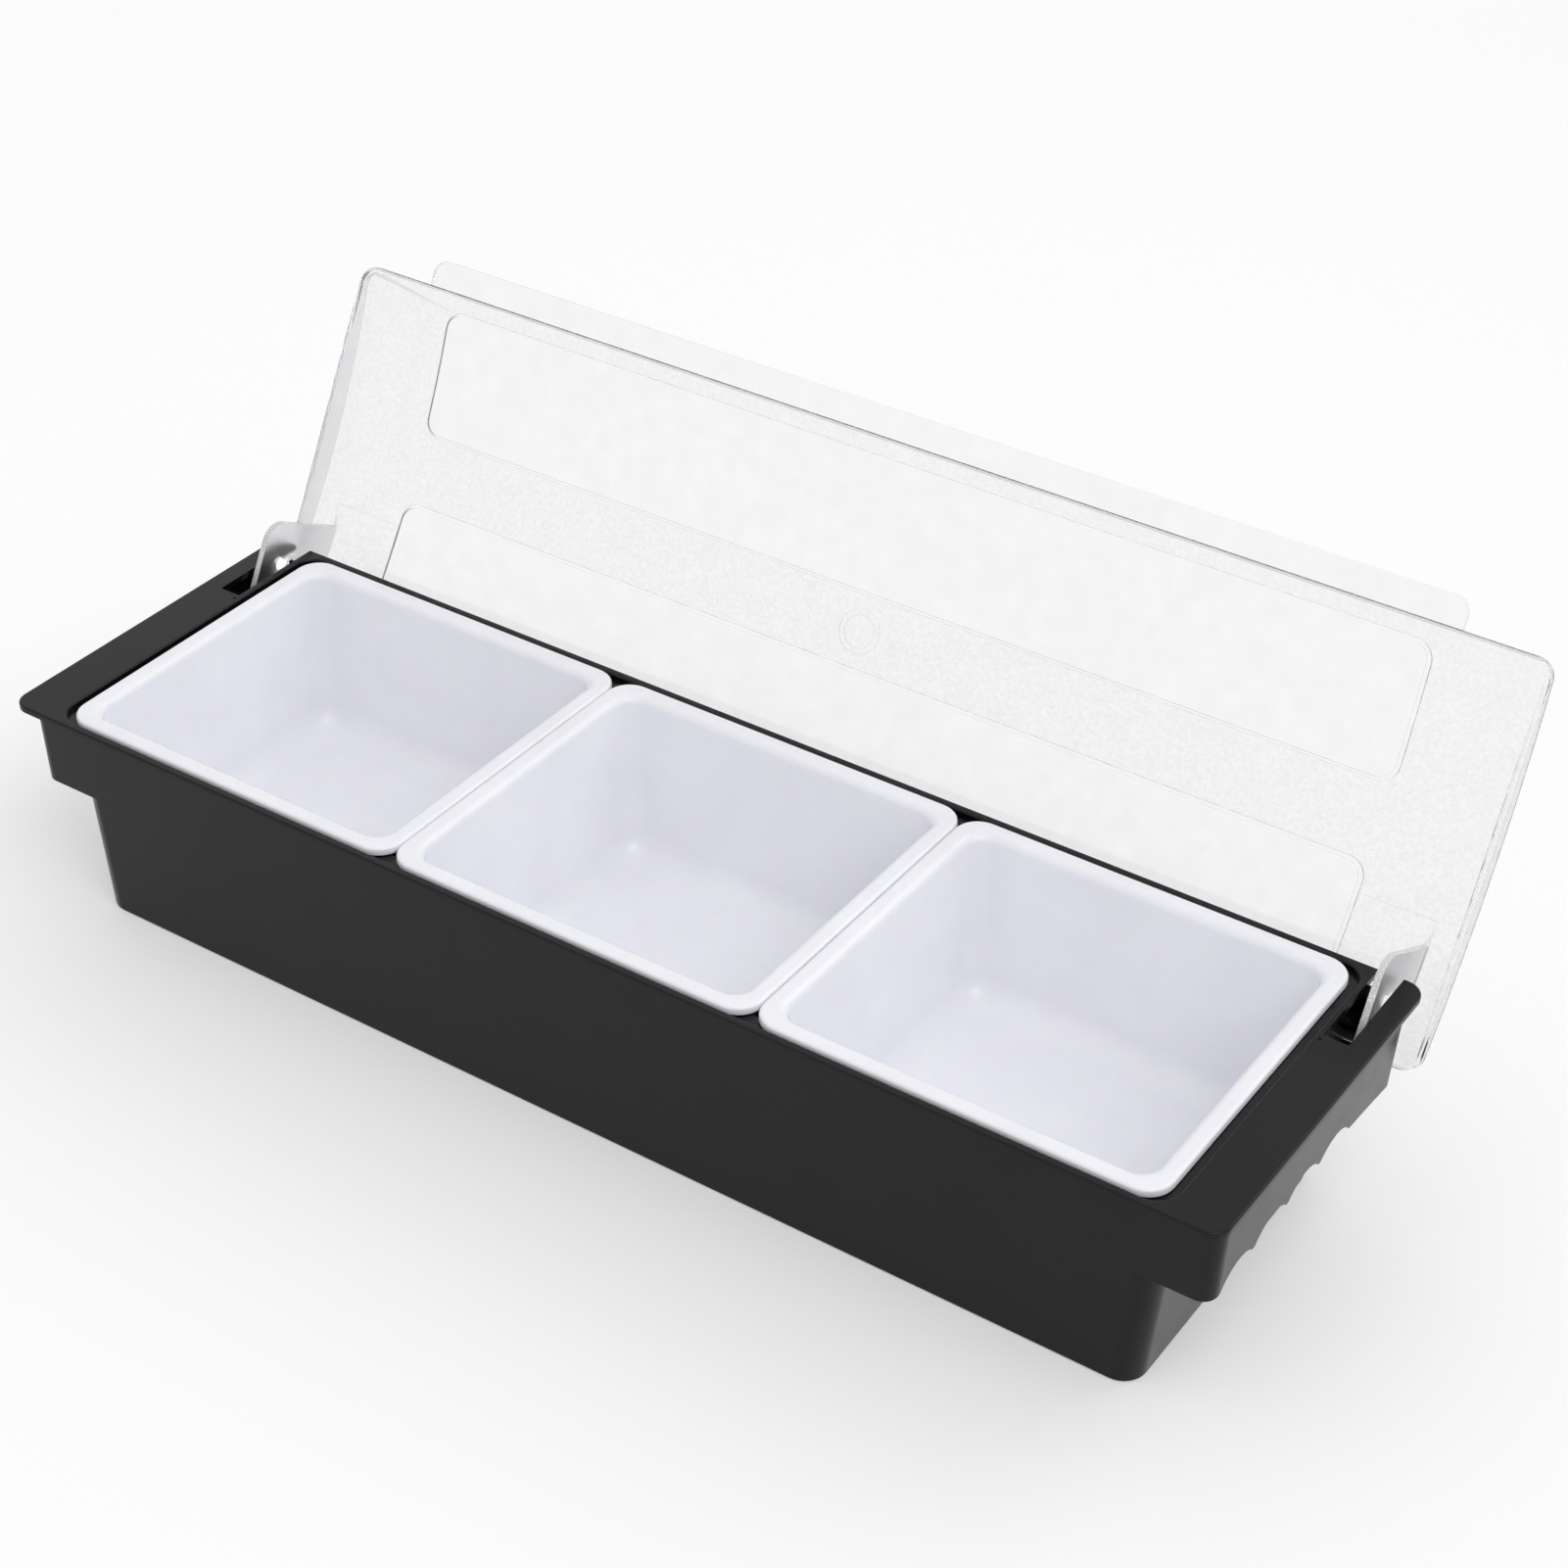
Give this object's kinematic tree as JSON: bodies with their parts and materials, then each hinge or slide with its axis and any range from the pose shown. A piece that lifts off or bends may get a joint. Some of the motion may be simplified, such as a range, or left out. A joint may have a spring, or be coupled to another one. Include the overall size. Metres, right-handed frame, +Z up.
{
  "type": "condiment caddy",
  "caption": "Black bar condiment caddy with lift-out white trays over an ice well and a clear lid that swings back on gooseneck arms.",
  "frame": {"origin": "centre of the base's underside", "axes": "+X along the caddy, +Y from the front to the hinge side at the back, +Z up"},
  "size_m": [0.5046, 0.219, 0.1903],
  "materials": {
    "base": "black moulded plastic with a soft sheen",
    "tray_left": "white moulded plastic, glossy",
    "tray_centre": "white moulded plastic, glossy",
    "tray_right": "white moulded plastic, glossy",
    "lid": "clear moulded plastic with a fine frosted grain and two smooth raised panels"
  },
  "bodies": {
    "base": {"base": "base"},
    "lid": {"lid": "lid"},
    "tray_left": {"tray_left": "tray_left"},
    "tray_centre": {"tray_centre": "tray_centre"},
    "tray_right": {"tray_right": "tray_right"}
  },
  "joints": [
    {"name": "lid_hinge", "type": "hinge", "parent": "base", "child": "lid", "pos_m": [0, 0.0608, 0.0703], "axis": [-1, 0, 0], "range_deg": [-118, 0]},
    {"name": "tray_left_lift", "type": "slide", "parent": "base", "child": "tray_left", "axis": [0, 0, 1], "range_m": [0, 0.1]},
    {"name": "tray_centre_lift", "type": "slide", "parent": "base", "child": "tray_centre", "axis": [0, 0, 1], "range_m": [0, 0.1]},
    {"name": "tray_right_lift", "type": "slide", "parent": "base", "child": "tray_right", "axis": [0, 0, 1], "range_m": [0, 0.1]}
  ]
}
